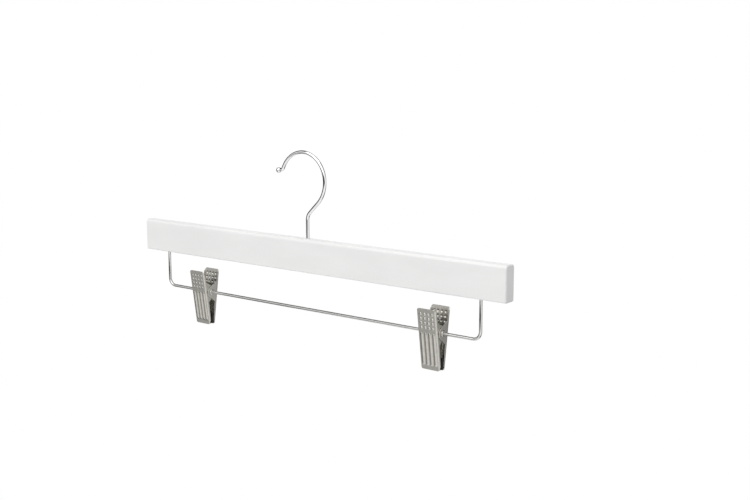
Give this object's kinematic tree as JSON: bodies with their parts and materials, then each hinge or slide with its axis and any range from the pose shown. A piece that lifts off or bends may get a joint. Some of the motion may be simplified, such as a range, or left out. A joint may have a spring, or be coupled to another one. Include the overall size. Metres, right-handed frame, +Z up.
{
  "type": "skirt hanger",
  "caption": "Lacquered wooden skirt hanger with a swivelling wire hook and stamped spring clips that slide and swing on a wire rail under the bar.",
  "frame": {"origin": "where a wardrobe rail meets the inside of the hook, straight above the hook's shank", "axes": "+X along the bar to the right as seen from the front, +Y from front to back, +Z up"},
  "size_m": [0.355, 0.0174, 0.1475],
  "materials": {
    "white_lacquer": "satin white lacquer over wood",
    "chromed_wire": "bright chrome plate",
    "washer_steel": "zinc plate",
    "rail_wire": "bright plate",
    "plated_sheet": "bright nickel plate",
    "plated_rivet": "bright nickel plate",
    "spring_steel": "plated spring wire",
    "black_rubber": "matt"
  },
  "bodies": {
    "hook": {"hook": "chromed_wire", "hook_washer": "washer_steel"},
    "bar": {"wooden_bar": "white_lacquer", "clip_rail": "rail_wire"},
    "left_sleeve": {"left_pivot_sleeve": "plated_rivet"},
    "left_front": {"left_front_jaw": "plated_sheet", "left_front_pad": "black_rubber", "left_spring": "spring_steel"},
    "left_rear": {"left_rear_jaw": "plated_sheet", "left_rear_pad": "black_rubber"},
    "right_sleeve": {"right_pivot_sleeve": "plated_rivet"},
    "right_front": {"right_front_jaw": "plated_sheet", "right_front_pad": "black_rubber", "right_spring": "spring_steel"},
    "right_rear": {"right_rear_jaw": "plated_sheet", "right_rear_pad": "black_rubber"}
  },
  "joints": [
    {"name": "hook_swivel", "type": "hinge", "parent": "hook", "child": "bar", "pos_m": [0, 0, -0.08843], "axis": [0, 0, 1], "continuous": true},
    {"name": "left_clip_slide", "type": "slide", "parent": "bar", "child": "left_sleeve", "axis": [1, 0, 0], "range_m": [-0.0265, 0.1039]},
    {"name": "left_clip_swing", "type": "hinge", "parent": "left_sleeve", "child": "left_front", "pos_m": [-0.1132, 0, -0.11743], "axis": [1, 0, 0], "continuous": true},
    {"name": "left_jaw_open", "type": "hinge", "parent": "left_front", "child": "left_rear", "pos_m": [-0.1132, 0, -0.11743], "axis": [1, 0, 0], "range_deg": [0, 40], "stiffness_Nm_per_rad": 0.17, "springref_deg": -67.61, "deforming": ["left_spring"]},
    {"name": "right_clip_slide", "type": "slide", "parent": "bar", "child": "right_sleeve", "axis": [1, 0, 0], "range_m": [-0.1067, 0.0237]},
    {"name": "right_clip_swing", "type": "hinge", "parent": "right_sleeve", "child": "right_front", "pos_m": [0.116, 0, -0.11743], "axis": [1, 0, 0], "continuous": true},
    {"name": "right_jaw_open", "type": "hinge", "parent": "right_front", "child": "right_rear", "pos_m": [0.116, 0, -0.11743], "axis": [1, 0, 0], "range_deg": [0, 40], "stiffness_Nm_per_rad": 0.17, "springref_deg": -67.61, "deforming": ["right_spring"]}
  ]
}
